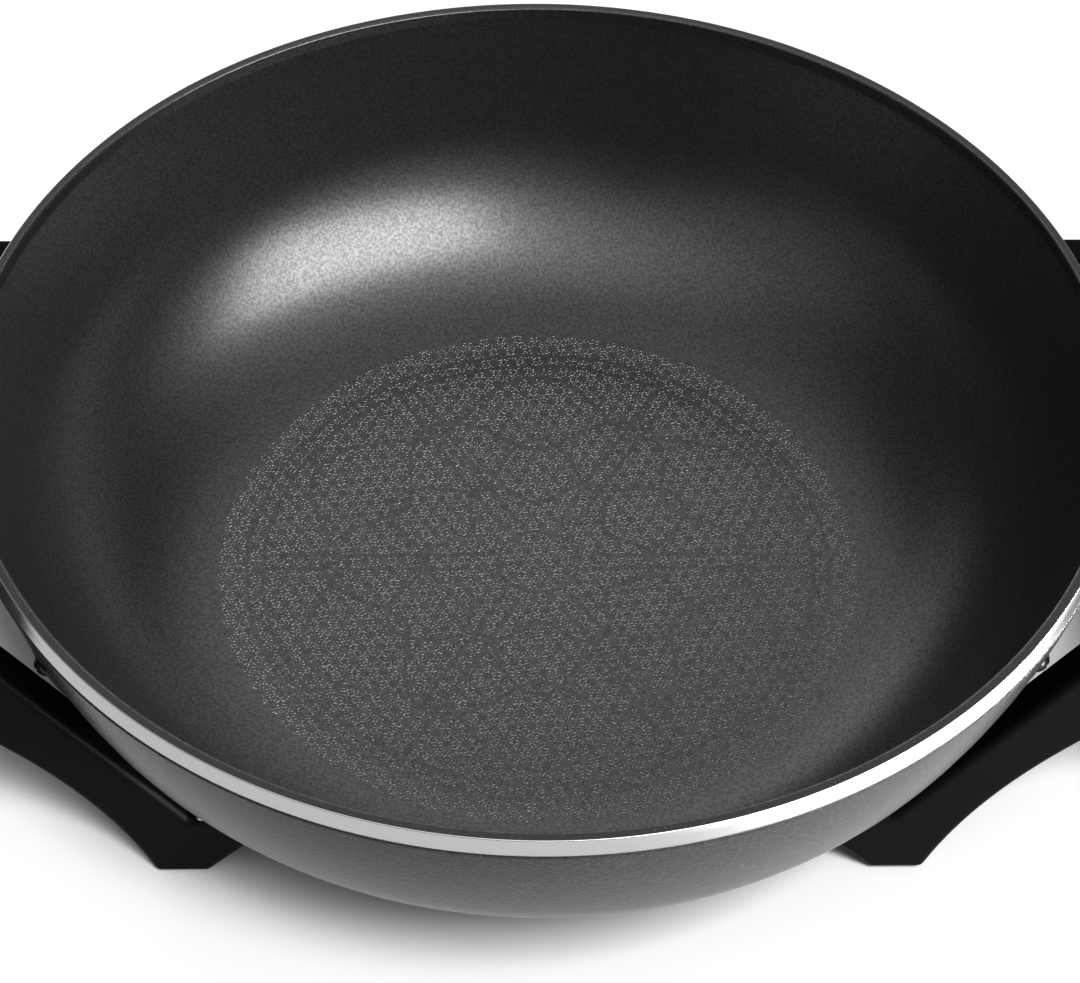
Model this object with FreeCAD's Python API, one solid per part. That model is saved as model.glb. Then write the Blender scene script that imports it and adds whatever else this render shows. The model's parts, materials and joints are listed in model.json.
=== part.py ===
import FreeCAD, Part
import math
import os
from FreeCAD import Vector

# Electric wok: a cast bowl on four moulded legs that rise into two side handles,
# heated by a ring element cast under its floor, with a plug-in temperature control.
# Millimetres. The origin is on the floor under the bowl's axis, +Z is up,
# the handles are on -X and +X, and the control plugs in under the +X handle.
# Sizes with two values are a low and a high place on one axis.

# Cast bowl: flat floor, round knuckle and a straight wall that leans outwards
RIM_Z = 132.0
RIM_FACE_R = 165.1
RIM_INNER_R = 162.1
RIM_CHAMFER = 0.45
BAND_LOW_R = 166.3
BAND_LOW_Z = 127.4
PAINT_STEP = 0.4
WALL = 4.6
WALL_LEAN = math.radians(15.0)
KNUCKLE_R = 72.0
KNUCKLE_CENTRE_R = 88.1
KNUCKLE_CENTRE_Z = 112.0
BASE_Z = KNUCKLE_CENTRE_Z - KNUCKLE_R
FLOOR_Z = BASE_Z + WALL

# Heating element, cast into a rib under the floor
PLUG_Z = 32.0
RING_R = 66.0
SHEATH_R = 4.0
CAST_GAP = 0.05
RIB_HALF_WIDTH = 6.5
RIB_LOW_Z = 30.0
RIB_OPENING_Y = 22.0
PIN_Y = 17.0
COLD_END_BEND = 10.0
SHEATH_END_X = 77.0
PIN_R = 2.5
PIN_TIP_R = 1.6
PIN_END_X = 103.0
INSULATOR_R = 4.6
INSULATOR_END_X = 88.0
INSULATOR_WAIST_R = 3.6
INSULATOR_WAIST_X = (84.5, 85.8)

# Sensing probe and the tube it slides into
PROBE_R = 3.0
PROBE_TIP_X = 24.0
PROBE_BORE_R = 3.08
SLEEVE_R = 5.0
SLEEVE_X = (18.0, 79.0)
SLEEVE_END_WALL = 2.5
SADDLE_X = (20.0, 75.0)
SADDLE_HALF_WIDTH = 4.5

# Pressed cover under the element
COVER_R = 76.0
COVER_Z = (24.5, 39.8)
COVER_SHEET = 0.8
COVER_CORNER = 3.0
COVER_STEP_R = 50.0
COVER_STEP = 1.8
COVER_NOTCH_Y = 23.0
COVER_NOTCH_Z = 26.6
COVER_POST_R = 4.5
COVER_SCREW_R = 36.0
COVER_SCREW_ANGLES = (60.0, 180.0, 300.0)

# Socket that guides the control on to the pins
SOCKET_X = (79.0, 103.0)
SOCKET_Z = (22.0, 39.7)
SOCKET_HALF_WIDTH = 27.5
SOCKET_WALL = 2.5
SOCKET_FLOOR = 2.0
EAR_X = 84.0
EAR_Y = 35.0
EAR_REACH = 5.0
EAR_THICK = 3.2
EAR_CORNER_R = 3.0

# Legs, given for the +X, -Y corner: outline points are (x, z, corner radius)
LEG_FACE_Y = 85.2
LEG_THICK = 10.4
LEG_BACK_Y = LEG_FACE_Y - LEG_THICK
LEG_MID_Y = LEG_FACE_Y - LEG_THICK / 2
FOOT_Z = 1.6
LAND_Z = 27.7
ARM_X = 188.0
ARM_Z = (84.0, 102.2)
LEG_OUTLINE = [
    (99.0, FOOT_Z, 1.2), (115.0, FOOT_Z, 2.5), (126.8, 35.4, 155.0), (172.2, ARM_Z[0], 26.0),
    (ARM_X, ARM_Z[0], 0.8), (ARM_X, ARM_Z[1], 0.8), (153.2, ARM_Z[1], 14.0), (103.0, LAND_Z, 2.0),
    (72.5, LAND_Z, 3.0), (72.5, 20.0, 3.0), (82.3, 19.4, 5.0),
]
LEG_EDGE_R = 2.6
LEG_SKIN = 3.0
LEG_RIB = 1.6
LEG_RIB_X = (118.0, 130.0, 152.0, 170.0)
LEG_RIB_TILT = 35.0
LEG_RIB_LOW_Z = 46.0
LEG_RIB_RISE = 1.25
LEG_SOLID_X = 112.0
LEG_SOLID_Z = 30.0
TONGUE_END_X = 201.0
TONGUE_HALF_THICK = 2.2
TONGUE_Z = (88.5, 98.0)

# Feet, and the screws that hold the legs to the bowl
PAD_X = (99.9, 113.2)
PAD_INSET = 0.9
PAD_CORNER_R = 1.5
PAD_PEG_R = 2.5
PAD_PEG_Z = 6.5
PAD_MID_X = (PAD_X[0] + PAD_X[1]) / 2
LEG_SCREW_X = 84.0
LEG_SCREW_SEAT_Z = 21.5
LEG_SCREW_WELL_R = 4.2
LEG_BOSS_R = 6.5
PLATE_THICK = 1.0
PLATE_X = (73.5, 101.4)
PLATE_CORNER_R = 2.0

# Steel clips that stay the legs to the bowl's wall
CLIP_ANGLE = 29.0
CLIP_THICK = 1.6
CLIP_Z = (57.0, 96.0)
CLIP_SPAN = (-6.5, 8.0)
CLIP_TAB_X = (118.0, 150.0)
CLIP_TAB_Z = (57.0, 69.0)
WALL_SCREW_Z = 91.0
CLIP_SCREW_X = 142.0
CLIP_SCREW_Z = 62.5
CLIP_POST_R = 4.4

# Handle grips, hollow mouldings closed from below by a plate
GRIP_X = (ARM_X, 214.0)
GRIP_Z = (ARM_Z[0], 103.6)
GRIP_CORNER_R = 16.0
GRIP_TOP_R = 6.5
GRIP_WALL = 2.6
GRIP_POST_R = 4.2
INSERT_THICK = 2.4
FIT_GAP = 0.1
GRIP_SCREW_X = 196.5
GRIP_SCREW_ROWS = (-LEG_MID_Y, -30.0, 30.0, LEG_MID_Y)

# Plug-in temperature control: a case with a narrower nose that enters the socket
NOSE_X = (90.0, 106.0)
NOSE_Z = (25.6, 38.0)
NOSE_HALF_WIDTH = 23.4
CASE_X = (104.6, 150.0)
CASE_Z = (12.0, 38.0)
CASE_HALF_WIDTH = 28.0
CASE_CORNER_R = 7.0
CASE_EDGE_R = 2.0
CASE_WALL = 1.8
SPLIT_Z = 24.0
CASE_SCREW_X = (113.5, 144.0)
CASE_SCREW_Y = 24.2
CASE_POST_R = 3.0
CASE_SCREW_SEAT = 3.0
BLOCK_X = (90.6, 108.0)
BLOCK_HALF_WIDTH = 21.0
BLOCK_HALF_HEIGHT = 4.0
BLOCK_EDGE_R = 1.5
CONTACT_X = (91.0, 109.5)
CONTACT_BORE_R = 2.56
CONTACT_R = 3.3
TAB_END_X = 116.5
TAB_HALF_WIDTH = 2.4
FRAME_X = (112.0, 132.0)
FRAME_Y = (-6.0, 10.2)
FRAME_Z = (16.0, 35.6)
FRAME_SHEET = 1.2
LEAF_HALF_WIDTH = 3.0
LEAF_SHEET = 0.4
LEAF_LOW_Z = 31.7
LEAF_HIGH_Z = 34.2
BUTTON_R = 1.4
BUTTON_X = 124.0
BUTTON_HEIGHT = 0.9
LENS_Y = 17.5
LENS_Z = 29.5
LENS_R = 3.4
LENS_STAND = 0.8
BULB_R = 2.2
BULB_X = (137.0, 145.0)
BUSH_Y = -16.0
BUSH_Z = 19.0
BUSH_R = 4.3
BUSH_BORE_R = 3.5
BUSH_FLANGE_R = 5.1
BUSH_FLANGE = 1.6
BUSH_X = (146.6, 156.0)

# Dial on the control's outer end, with the spindle and cam that it turns
DIAL_Z = SPLIT_Z
DIAL_R = 10.5
DIAL_X = (150.6, 158.0)
DIAL_EDGE_R = 1.4
DIAL_FLUTES = 18
DIAL_FLUTE_R = 1.0
DIAL_SKIRT = 2.0
DIAL_RECESS_R = 7.9
DIAL_RECESS = 1.0
DIAL_BAR_HALF_WIDTH = 1.5
SPINDLE_R = 3.0
SPINDLE_X = (123.0, 156.0)
SPINDLE_GAP = 0.06
COLLAR_R = 5.0
COLLAR_X = (145.8, 147.9)
CAM_X = (125.0, 129.0)
CAM_R = 6.2
CAM_THROW = 1.2

ORIGIN = Vector(0, 0, 0)
X_AXIS = Vector(1, 0, 0)
Y_AXIS = Vector(0, 1, 0)
Z_AXIS = Vector(0, 0, 1)
PAST = 1.0  # how far a cutting tool runs past the face that it opens


def box(x, y, z):
    """Box between the low and high value on each axis."""
    return Part.makeBox(x[1] - x[0], y[1] - y[0], z[1] - z[0], Vector(x[0], y[0], z[0]))


def rod(radius, start, end):
    """Cylinder from one point to another."""
    run = Vector(*end) - Vector(*start)
    return Part.makeCylinder(radius, run.Length, Vector(*start), run)


def rod_x(radius, x, y, z):
    return rod(radius, (x[0], y, z), (x[1], y, z))


def rod_z(radius, x, y, z):
    return rod(radius, (x, y, z[0]), (x, y, z[1]))


def union(shapes):
    return shapes[0].multiFuse(shapes[1:]).removeSplitter()


def without(shape, tools):
    """Shape with each tool cut away in turn."""
    for tool in tools:
        shape = shape.cut(tool)
    return shape.removeSplitter()


def group(shapes):
    return Part.makeCompound(list(shapes))


def mirrored(shape, normal):
    return shape.mirror(ORIGIN, normal)


def turned(shape, angle):
    copy = shape.copy()
    copy.rotate(ORIGIN, Z_AXIS, angle)
    return copy


def corner_copies(shape):
    """One copy of a shape for each of the four corners, from the +X, -Y one."""
    across = mirrored(shape, X_AXIS)
    return {
        "right_front": shape,
        "left_front": across,
        "right_rear": mirrored(shape, Y_AXIS),
        "left_rear": mirrored(across, Y_AXIS),
    }


def spun(edges):
    """Solid of revolution about Z from a closed chain of edges."""
    return Part.Face(Part.Wire(edges)).revolve(ORIGIN, Z_AXIS, 360)


def chain(points):
    """Straight edges through (r, z) points."""
    places = [Vector(r, 0, z) for r, z in points]
    return [Part.makeLine(start, end) for start, end in zip(places, places[1:])]


def rounding_arc(before, corner, after, radius):
    """Start, middle and end of the arc that rounds one corner of an outline."""
    to_before = (before - corner).normalize()
    to_after = (after - corner).normalize()
    half_angle = to_before.getAngle(to_after) / 2
    bisector = (to_before + to_after).normalize()
    centre = corner + bisector * (radius / math.sin(half_angle))
    reach = radius / math.tan(half_angle)
    return corner + to_before * reach, centre - bisector * radius, corner + to_after * reach


def rounded_face(points):
    """Face in the XZ plane from (x, z, corner radius) points."""
    corners = [Vector(x, 0, z) for x, z, _ in points]
    count = len(points)
    arcs = [
        rounding_arc(corners[i - 1], corners[i], corners[(i + 1) % count], points[i][2])
        for i in range(count)
    ]
    edges = []
    for i, (start, middle, end) in enumerate(arcs):
        edges.append(Part.Arc(start, middle, end).toShape())
        edges.append(Part.makeLine(end, arcs[(i + 1) % count][0]))
    return Part.Face(Part.Wire(edges))


def pan_screw(seat, direction, shank, length, head):
    """Round-headed screw with a cross recess, from the centre of its head's seat."""
    crown = head * 0.62
    dome_r = (head ** 2 + crown ** 2) / (2 * crown)
    dome = Part.makeSphere(dome_r, Vector(0, 0, crown - dome_r)).common(Part.makeCylinder(head, crown))
    long_side = (-head * 0.55, head * 0.55)
    short_side = (-head * 0.11, head * 0.11)
    depth = (crown * 0.45, crown + PAST)
    dome = dome.cut(box(long_side, short_side, depth)).cut(box(short_side, long_side, depth))
    screw = dome.fuse(Part.makeCylinder(shank, length, ORIGIN, Z_AXIS * -1)).removeSplitter()
    facing = Vector(*direction) * -1
    screw.Placement = FreeCAD.Placement(Vector(*seat), FreeCAD.Rotation(Z_AXIS, facing))
    return screw


def bowl_side(offset):
    """Knuckle arc at a distance from the bowl's outer surface, and its top end."""
    radius = KNUCKLE_R + offset

    def on_arc(angle):
        r = KNUCKLE_CENTRE_R + radius * math.cos(angle)
        return Vector(r, 0, KNUCKLE_CENTRE_Z + radius * math.sin(angle))

    top = on_arc(-WALL_LEAN)
    arc = Part.Arc(on_arc(-math.pi / 2), on_arc(-math.pi / 4), top).toShape()
    return arc, (top.x, top.z)


def wall_r(top, z):
    """Radius of the straight wall at a height, above the top end of its knuckle arc."""
    return top[0] + math.tan(WALL_LEAN) * (z - top[1])


def bowl_outside(offset=0.0):
    """Solid filled up to the bowl's outer surface, or beyond it by an offset."""
    arc, top = bowl_side(offset)
    low = BASE_Z - offset
    step_z = BAND_LOW_Z - PAINT_STEP
    side = [top, (wall_r(top, step_z), step_z)]
    if offset == 0:
        side += [(BAND_LOW_R, BAND_LOW_Z), (RIM_FACE_R, RIM_Z)]
    high = side[-1][1]
    floor = chain([(0, high), (0, low), (KNUCKLE_CENTRE_R, low)])
    return spun(floor + [arc] + chain(side + [(0, high)]))


def bowl_inside():
    """The space that the food fills, with the rim's lip and inner chamfer."""
    arc, top = bowl_side(-WALL)
    above = RIM_Z + PAST
    lip_z = top[1] + (RIM_INNER_R - top[0]) / math.tan(WALL_LEAN)
    mouth_r = RIM_INNER_R + RIM_CHAMFER
    side = [top, (RIM_INNER_R, lip_z), (RIM_INNER_R, RIM_Z - RIM_CHAMFER), (mouth_r, RIM_Z)]
    floor = chain([(0, above), (0, FLOOR_Z), (KNUCKLE_CENTRE_R, FLOOR_Z)])
    return spun(floor + [arc] + chain(side + [(mouth_r, above), (0, above)]))


def wall_screw_seat():
    """Point on the bowl's wall under a clip's screw, and the wall's outward normal."""
    turn = math.radians(CLIP_ANGLE)
    radial = Vector(math.cos(turn), -math.sin(turn), 0)
    drop = math.asin((KNUCKLE_CENTRE_Z - WALL_SCREW_Z) / KNUCKLE_R)
    point = radial * (KNUCKLE_CENTRE_R + KNUCKLE_R * math.cos(drop)) + Z_AXIS * WALL_SCREW_Z
    return point, radial * math.cos(drop) - Z_AXIS * math.sin(drop)


def cover_screw_places():
    turns = [math.radians(angle) for angle in COVER_SCREW_ANGLES]
    return [(COVER_SCREW_R * math.cos(turn), COVER_SCREW_R * math.sin(turn)) for turn in turns]


def element_solid(radius):
    """Ring with two straight cold ends, led out of the ring by tangent bends."""
    bend_y = PIN_Y + COLD_END_BEND
    bend_x = math.sqrt((RING_R + COLD_END_BEND) ** 2 - bend_y ** 2)
    to_ring = Vector(-bend_x, -bend_y, 0).normalize()
    between = (to_ring - Y_AXIS).normalize()

    def bend(side):
        """Points of one bend, from the cold end to the ring."""
        centre = Vector(bend_x, side * bend_y, PLUG_Z)
        ways = [Vector(way.x, side * way.y, 0) for way in (Y_AXIS * -1, between, to_ring)]
        return [centre + way * COLD_END_BEND for way in ways]

    near = bend(-1)
    far = bend(1)
    start = Vector(SHEATH_END_X, -PIN_Y, PLUG_Z)
    path = Part.Wire([
        Part.makeLine(start, near[0]),
        Part.Arc(*near).toShape(),
        Part.Arc(near[2], Vector(-RING_R, 0, PLUG_Z), far[2]).toShape(),
        Part.Arc(*reversed(far)).toShape(),
        Part.makeLine(far[0], Vector(SHEATH_END_X, PIN_Y, PLUG_Z)),
    ])
    return path.makePipeShell([Part.Wire(Part.makeCircle(radius, start, X_AXIS))], True, True)


def bowl():
    into_floor = BASE_Z + PAST
    ribs = rod_z(RING_R + RIB_HALF_WIDTH, 0, 0, (RIB_LOW_Z, into_floor))
    ribs = ribs.cut(rod_z(RING_R - RIB_HALF_WIDTH, 0, 0, (0, into_floor)))
    ribs = ribs.cut(box((0, RIM_FACE_R), (-RIB_OPENING_Y, RIB_OPENING_Y), (0, into_floor)))
    saddle = box(SADDLE_X, (-SADDLE_HALF_WIDTH, SADDLE_HALF_WIDTH), (PLUG_Z, into_floor))
    post_z = COVER_Z[0] + COVER_STEP + COVER_SHEET
    posts = [rod_z(COVER_POST_R, x, y, (post_z, into_floor)) for x, y in cover_screw_places()]
    boss = rod_z(LEG_BOSS_R, LEG_SCREW_X, -LEG_MID_Y, (LAND_Z + PLATE_THICK, FLOOR_Z + LEG_BOSS_R))
    bosses = list(corner_copies(boss).values())
    casting = union([bowl_outside(), ribs, saddle] + posts + bosses).cut(bowl_inside())

    tools = [element_solid(SHEATH_R + CAST_GAP)]
    tools.append(rod_x(SLEEVE_R + CAST_GAP, (SADDLE_X[0] - PAST, SLEEVE_X[1]), 0, PLUG_Z))
    tools += [rod_z(1.5, x, y, (0, into_floor)) for x, y in cover_screw_places()]
    tools += [rod_z(1.5, EAR_X, y, (0, FLOOR_Z - 1.4)) for y in (-EAR_Y, EAR_Y)]
    tools += corner_copies(rod_z(1.9, LEG_SCREW_X, -LEG_MID_Y, (0, into_floor))).values()
    point, normal = wall_screw_seat()
    tools += corner_copies(Part.makeCylinder(1.9, 10, point - normal * 3, normal)).values()
    return without(casting, tools)


def terminal_pin(y):
    pin = rod_x(PIN_R, (SHEATH_END_X, PIN_END_X), y, PLUG_Z)
    tip = [edge for edge in pin.Edges if edge.Closed and edge.BoundBox.XMin > PIN_END_X - 0.1]
    return pin.makeFillet(PIN_TIP_R, tip)


def pin_insulator(y):
    bush = rod_x(INSULATOR_R, (SHEATH_END_X, INSULATOR_END_X), y, PLUG_Z)
    groove = rod_x(INSULATOR_R + PAST, INSULATOR_WAIST_X, y, PLUG_Z)
    groove = groove.cut(rod_x(INSULATOR_WAIST_R, INSULATOR_WAIST_X, y, PLUG_Z))
    return without(bush, [groove, rod_x(PIN_R, (SHEATH_END_X, INSULATOR_END_X), y, PLUG_Z)])


def probe_sleeve():
    bore = (SLEEVE_X[0] + SLEEVE_END_WALL, SLEEVE_X[1] + PAST)
    return rod_x(SLEEVE_R, SLEEVE_X, 0, PLUG_Z).cut(rod_x(PROBE_BORE_R, bore, 0, PLUG_Z))


def element_cover():
    low, high = COVER_Z
    step_z = low + COVER_STEP
    inner_r = COVER_R - COVER_SHEET
    floor = low + COVER_SHEET
    under = [
        (0, step_z), (COVER_STEP_R, step_z), (COVER_STEP_R + COVER_STEP, low),
        (COVER_R - COVER_CORNER, low), (COVER_R, low + COVER_CORNER), (COVER_R, high),
    ]
    over = [
        (inner_r, high), (inner_r, low + COVER_CORNER), (inner_r + COVER_SHEET - COVER_CORNER, floor),
        (COVER_STEP_R + COVER_STEP, floor), (COVER_STEP_R, step_z + COVER_SHEET),
        (0, step_z + COVER_SHEET), (0, step_z),
    ]
    pan = spun(chain(under + over))
    notch = box((0, COVER_R + PAST), (-COVER_NOTCH_Y, COVER_NOTCH_Y), (COVER_NOTCH_Z, high + PAST))
    return without(pan, [notch] + [rod_z(1.9, x, y, (0, BASE_Z)) for x, y in cover_screw_places()])


def cover_screws():
    seat_z = COVER_Z[0] + COVER_STEP
    return group(pan_screw((x, y, seat_z), (0, 0, 1), 1.5, 10, 3.2) for x, y in cover_screw_places())


def control_socket():
    """Tray open towards the control, hung from the bowl's underside by two ears."""
    start, end = SOCKET_X
    low, high = SOCKET_Z
    inner = SOCKET_HALF_WIDTH - SOCKET_WALL
    cavity = box((start + SOCKET_WALL, end + PAST), (-inner, inner), (low + SOCKET_FLOOR, high + PAST))
    tray = box(SOCKET_X, (-SOCKET_HALF_WIDTH, SOCKET_HALF_WIDTH), SOCKET_Z)
    ear_reach_y = EAR_Y + EAR_REACH
    ears = box((EAR_X - EAR_REACH, EAR_X + EAR_REACH), (-ear_reach_y, ear_reach_y), (high - EAR_THICK, high))
    upright = [edge for edge in ears.Edges if edge.BoundBox.ZLength > EAR_THICK - 0.1]
    socket = tray.fuse(ears.makeFillet(EAR_CORNER_R, upright))
    back = (start - PAST, start + SOCKET_WALL + PAST)
    tools = [cavity, rod_x(PROBE_R + 0.5, back, 0, PLUG_Z)]
    tools += [rod_x(INSULATOR_R + FIT_GAP, back, y, PLUG_Z) for y in (-PIN_Y, PIN_Y)]
    tools += [rod_z(1.8, EAR_X, y, (0, BASE_Z)) for y in (-EAR_Y, EAR_Y)]
    return without(socket, tools)


def socket_screws():
    seat_z = SOCKET_Z[1] - EAR_THICK
    return group(pan_screw((EAR_X, y, seat_z), (0, 0, 1), 1.5, 6.2, 3.0) for y in (-EAR_Y, EAR_Y))


def leg_hollow(face):
    """Hollow behind the leg's face, crossed by slanting ribs and a screw post."""
    inset = Part.Face(face.OuterWire.makeOffset2D(-LEG_SKIN, 0, False, False, False))
    hollow = inset.extrude(Y_AXIS * LEG_THICK)
    hollow.translate(Y_AXIS * LEG_SKIN)
    across = (-LEG_FACE_Y, PAST)
    keep = [box((0, LEG_SOLID_X), across, (0, LEG_SOLID_Z))]
    keep.append(rod(CLIP_POST_R, (CLIP_SCREW_X, -LEG_FACE_Y, CLIP_SCREW_Z), (CLIP_SCREW_X, 0, CLIP_SCREW_Z)))
    for x in LEG_RIB_X:
        z = LEG_RIB_LOW_Z + (x - LEG_RIB_X[0]) * LEG_RIB_RISE
        rib = box((x - 30, x + 30), across, (z - LEG_RIB / 2, z + LEG_RIB / 2))
        rib.rotate(Vector(x, 0, z), Y_AXIS, LEG_RIB_TILT)
        keep.append(rib)
    return without(hollow, keep)


def leg():
    """Moulded leg and handle arm: a slab with a soft front edge and a ribbed back."""
    face = rounded_face(LEG_OUTLINE)
    face.translate(Y_AXIS * -LEG_FACE_Y)
    slab = face.extrude(Y_AXIS * LEG_THICK)
    front = [edge for edge in slab.Edges if edge.BoundBox.YMax < -LEG_FACE_Y + 0.1]
    slab = slab.makeFillet(LEG_EDGE_R, front).cut(leg_hollow(face))
    tongue_y = (-LEG_MID_Y - TONGUE_HALF_THICK, -LEG_MID_Y + TONGUE_HALF_THICK)
    slab = slab.fuse(box((ARM_X - LEG_SKIN, TONGUE_END_X), tongue_y, TONGUE_Z))
    return without(slab, [
        rod_z(2.2, LEG_SCREW_X, -LEG_MID_Y, (0, LAND_Z + PAST)),
        rod_z(LEG_SCREW_WELL_R, LEG_SCREW_X, -LEG_MID_Y, (0, LEG_SCREW_SEAT_Z)),
        rod(1.6, (CLIP_SCREW_X, -LEG_BACK_Y, CLIP_SCREW_Z), (CLIP_SCREW_X, 3 - LEG_FACE_Y, CLIP_SCREW_Z)),
        rod_z(PAD_PEG_R, PAD_MID_X, -LEG_MID_Y, (0, PAD_PEG_Z)),
        rod_z(2.0, GRIP_SCREW_X, -LEG_MID_Y, GRIP_Z),
    ])


def foot_pad():
    pad = box(PAD_X, (-LEG_FACE_Y + LEG_EDGE_R, -LEG_BACK_Y - PAD_INSET), (0, FOOT_Z))
    upright = [edge for edge in pad.Edges if edge.BoundBox.ZLength > FOOT_Z - 0.1]
    return pad.makeFillet(PAD_CORNER_R, upright).fuse(rod_z(PAD_PEG_R, PAD_MID_X, -LEG_MID_Y, (1, PAD_PEG_Z)))


def leg_plate():
    plate = box(PLATE_X, (-LEG_FACE_Y + 0.4, -LEG_BACK_Y), (LAND_Z, LAND_Z + PLATE_THICK))
    upright = [edge for edge in plate.Edges if edge.BoundBox.ZLength > PLATE_THICK - 0.1]
    plate = plate.makeFillet(PLATE_CORNER_R, upright)
    return plate.cut(rod_z(2.2, LEG_SCREW_X, -LEG_MID_Y, (0, BASE_Z)))


def leg_screw():
    return pan_screw((LEG_SCREW_X, -LEG_MID_Y, LEG_SCREW_SEAT_Z), (0, 0, 1), 1.9, 18.5, 3.9)


def wall_clip():
    """Strap that hugs the wall, bent out into a tab against the leg's back."""
    strap = turned(box((KNUCKLE_CENTRE_R, RIM_FACE_R), CLIP_SPAN, CLIP_Z), -CLIP_ANGLE)
    strap = strap.common(bowl_outside(CLIP_THICK))
    tab = box(CLIP_TAB_X, (CAST_GAP - LEG_BACK_Y, CLIP_THICK - LEG_BACK_Y), CLIP_TAB_Z)
    clip = union([piece.cut(bowl_outside()) for piece in (strap, tab)])
    point, normal = wall_screw_seat()
    through_tab = [(CLIP_SCREW_X, y, CLIP_SCREW_Z) for y in (-LEG_FACE_Y, -LEG_BACK_Y + 2 * CLIP_THICK)]
    return without(clip, [Part.makeCylinder(2.1, 10, point - normal, normal), rod(2.0, *through_tab)])


def wall_screw():
    point, normal = wall_screw_seat()
    return pan_screw(point + normal * CLIP_THICK, normal * -1, 1.9, CLIP_THICK + 2.8, 3.4)


def clip_screw():
    return pan_screw((CLIP_SCREW_X, -LEG_BACK_Y + CLIP_THICK, CLIP_SCREW_Z), (0, -1, 0), 1.6, 8.0, 3.2)


def grip_block(inset, z):
    """Bar with rounded outer corners, for the grip's outside, hollow or plate."""
    y = LEG_FACE_Y - inset
    bar = box((GRIP_X[0] + inset, GRIP_X[1] - inset), (-y, y), z)
    outer = [edge for edge in bar.Edges if edge.BoundBox.XMin > GRIP_SCREW_X and edge.BoundBox.ZLength > 1]
    return bar.makeFillet(GRIP_CORNER_R - inset, outer)


def round_top(bar, radius):
    high = bar.BoundBox.ZMax - 0.1
    return bar.makeFillet(radius, [edge for edge in bar.Edges if edge.BoundBox.ZMin > high])


def grip():
    low, high = GRIP_Z
    roof = high - GRIP_WALL
    shell = round_top(grip_block(0, GRIP_Z), GRIP_TOP_R)
    shell = shell.cut(round_top(grip_block(GRIP_WALL, (low - PAST, roof)), GRIP_TOP_R - GRIP_WALL))
    for y in GRIP_SCREW_ROWS:
        post_low = TONGUE_Z[1] if abs(y) == LEG_MID_Y else low + INSERT_THICK
        shell = shell.fuse(rod_z(GRIP_POST_R, GRIP_SCREW_X, y, (post_low, roof + 0.5)))
    tools = [rod_z(1.5, GRIP_SCREW_X, y, (low, high - 1.6)) for y in GRIP_SCREW_ROWS]
    reach = TONGUE_HALF_THICK + FIT_GAP
    notch_x = (GRIP_X[0] - PAST, GRIP_X[0] + GRIP_WALL + 0.5)
    notch_z = (TONGUE_Z[0] - FIT_GAP, TONGUE_Z[1] + FIT_GAP)
    tools += [box(notch_x, (y - reach, y + reach), notch_z) for y in (-LEG_MID_Y, LEG_MID_Y)]
    return without(shell, tools)


def grip_insert():
    """Plate that closes the grip from below, with posts that bear on the leg tongues."""
    low = GRIP_Z[0]
    plate = grip_block(GRIP_WALL + FIT_GAP, (low, low + INSERT_THICK))
    room = grip_block(GRIP_WALL + FIT_GAP, (low, TONGUE_Z[0]))
    for y in (-LEG_MID_Y, LEG_MID_Y):
        plate = plate.fuse(rod_z(GRIP_POST_R, GRIP_SCREW_X, y, (low, TONGUE_Z[0])).common(room))
    return without(plate, [rod_z(2.0, GRIP_SCREW_X, y, (0, RIM_Z)) for y in GRIP_SCREW_ROWS])


def grip_screws():
    screws = []
    for y in GRIP_SCREW_ROWS:
        length = 16.5 if abs(y) == LEG_MID_Y else 14.0
        screws.append(pan_screw((GRIP_SCREW_X, y, GRIP_Z[0]), (0, 0, 1), 1.5, length, 3.2))
    return group(screws + [mirrored(screw, X_AXIS) for screw in screws])


def case_block(inset):
    """Outside of the control's housing, or its hollow when inset by the wall."""
    y = CASE_HALF_WIDTH - inset
    z = (CASE_Z[0] + inset, CASE_Z[1] - inset)
    case = box((CASE_X[0] + inset, CASE_X[1] - inset), (-y, y), z)
    upright = [edge for edge in case.Edges if edge.BoundBox.ZLength > 1]
    case = case.makeFillet(CASE_CORNER_R - inset, upright)
    if inset == 0:
        case = case.makeFillet(CASE_EDGE_R, [edge for edge in case.Edges if edge.BoundBox.ZLength < 0.1])
    nose_y = NOSE_HALF_WIDTH - inset
    nose_z = (NOSE_Z[0] + inset, NOSE_Z[1] - inset)
    nose = box((NOSE_X[0] + inset, NOSE_X[1] + 2 * inset), (-nose_y, nose_y), nose_z)
    return case.fuse(nose).removeSplitter()


def case_screw_places():
    return [(x, y) for x in CASE_SCREW_X for y in (-CASE_SCREW_Y, CASE_SCREW_Y)]


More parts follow.
